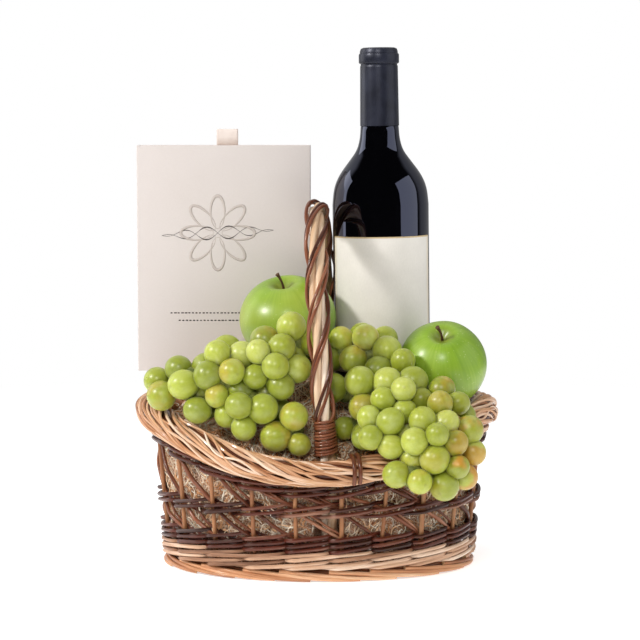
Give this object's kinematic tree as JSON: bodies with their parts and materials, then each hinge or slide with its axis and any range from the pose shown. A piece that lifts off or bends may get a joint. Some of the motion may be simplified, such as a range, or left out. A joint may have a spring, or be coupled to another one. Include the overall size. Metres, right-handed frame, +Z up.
{
  "type": "wine and apple gift basket",
  "caption": "Oval wicker basket with an arched handle, filled with wood wool and holding a wine bottle, a flat gift box of chocolates, apples and bunches of grapes.",
  "frame": {"origin": "on the surface the basket stands on, under the middle of the outline", "axes": "+Z up along the bottle, X along the basket's long side, -Y towards the front with the grapes"},
  "size_m": [0.2836, 0.231, 0.4005],
  "materials": {
    "pale_wicker": "peeled cane, satin",
    "tan_wicker": "stained cane, satin",
    "dark_wicker": "dark stained cane, satin",
    "board": "bare fibre board",
    "wood_wool": "curled raw shavings",
    "bottle_glass": "full bottle of near-black glass",
    "capsule_foil": "satin charcoal foil",
    "label_paper": "matt ivory paper",
    "box_card": "matt pale pink-beige card",
    "ribbon": "satin ribbon",
    "apple_skin": "waxy green fruit skin",
    "apple_stem": "dry woody stem",
    "grape_skin": "clear yellow-green fruit with a thin bloom"
  },
  "bodies": {
    "root": {"basket_floor": "board", "basket_foot": "pale_wicker", "basket_light_band": "pale_wicker", "basket_lower_band": "dark_wicker", "basket_middle_band": "dark_wicker", "basket_upper_band": "dark_wicker", "basket_net": "tan_wicker", "basket_rim": "pale_wicker", "rim_lashing_1": "dark_wicker", "rim_lashing_2": "dark_wicker", "handle_core": "pale_wicker", "handle_wrap_1": "dark_wicker", "handle_wrap_2": "dark_wicker", "handle_wrap_3": "dark_wicker", "handle_binding_front": "tan_wicker", "handle_binding_back": "tan_wicker", "wood_wool": "wood_wool", "bottle_glass": "bottle_glass", "bottle_capsule": "capsule_foil", "bottle_label": "label_paper", "box_sleeve": "box_card", "box_tray": "box_card", "box_ribbon": "ribbon", "apple_left": "apple_skin", "apple_right": "apple_skin", "apple_left_stem": "apple_stem", "apple_right_stem": "apple_stem", "grapes_left": "grape_skin", "grapes_right": "grape_skin"}
  },
  "joints": []
}
